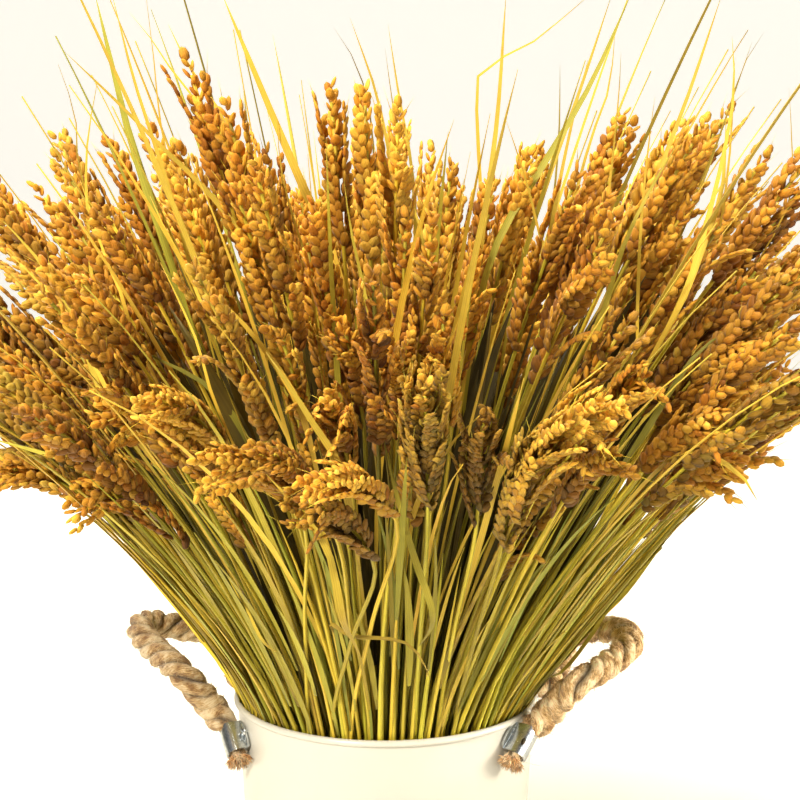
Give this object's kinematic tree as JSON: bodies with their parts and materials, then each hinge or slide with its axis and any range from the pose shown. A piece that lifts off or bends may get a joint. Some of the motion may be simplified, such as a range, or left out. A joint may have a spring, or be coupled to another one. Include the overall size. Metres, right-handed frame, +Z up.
{
  "type": "pail of dried rice ears",
  "caption": "Dense spreading bunch of dried rice ears and leaf blades standing in a cream sheet-metal pail with rope handles.",
  "frame": {"origin": "centre of the pail's flat underside, on the surface that it stands on", "axes": "+Z up along the pail's axis, -Y to the front of the arrangement, the rope handles near +X and -X"},
  "size_m": [0.5239, 0.5598, 0.511],
  "materials": {
    "cream_paint": "smooth satin enamel",
    "zinc_plate": "bright zinc plating",
    "jute_rope": "hairy laid jute",
    "dried_rice": "dry straw and grain, matt to satin"
  },
  "bodies": {
    "root": {"rope_handle_right": "jute_rope", "rope_handle_left": "jute_rope", "rope_clip_1": "zinc_plate", "rope_clip_2": "zinc_plate", "rope_clip_3": "zinc_plate", "rope_clip_4": "zinc_plate", "clip_rivet_1": "zinc_plate", "clip_rivet_2": "zinc_plate", "clip_rivet_3": "zinc_plate", "clip_rivet_4": "zinc_plate", "pail": "cream_paint", "rice_tiller_01": "dried_rice", "rice_tiller_02": "dried_rice", "rice_tiller_03": "dried_rice", "rice_tiller_04": "dried_rice", "rice_tiller_05": "dried_rice", "rice_tiller_06": "dried_rice", "rice_tiller_07": "dried_rice", "rice_tiller_08": "dried_rice", "rice_tiller_09": "dried_rice", "rice_tiller_10": "dried_rice", "rice_tiller_11": "dried_rice", "rice_tiller_12": "dried_rice", "rice_tiller_13": "dried_rice", "rice_tiller_14": "dried_rice", "rice_tiller_15": "dried_rice", "rice_tiller_16": "dried_rice", "rice_tiller_17": "dried_rice", "rice_tiller_18": "dried_rice", "rice_tiller_19": "dried_rice", "rice_tiller_20": "dried_rice", "rice_tiller_21": "dried_rice", "rice_tiller_22": "dried_rice", "rice_tiller_23": "dried_rice", "rice_tiller_24": "dried_rice", "rice_tiller_25": "dried_rice", "rice_tiller_26": "dried_rice", "rice_tiller_27": "dried_rice", "rice_tiller_28": "dried_rice", "rice_tiller_29": "dried_rice", "rice_tiller_30": "dried_rice", "rice_tiller_31": "dried_rice", "rice_tiller_32": "dried_rice", "rice_tiller_33": "dried_rice", "rice_tiller_34": "dried_rice", "rice_tiller_35": "dried_rice", "rice_tiller_36": "dried_rice", "rice_tiller_37": "dried_rice", "rice_tiller_38": "dried_rice", "rice_tiller_39": "dried_rice", "rice_tiller_40": "dried_rice", "rice_tiller_41": "dried_rice", "rice_tiller_42": "dried_rice", "rice_tiller_43": "dried_rice", "rice_tiller_44": "dried_rice", "rice_tiller_45": "dried_rice", "rice_tiller_46": "dried_rice"}
  },
  "joints": []
}
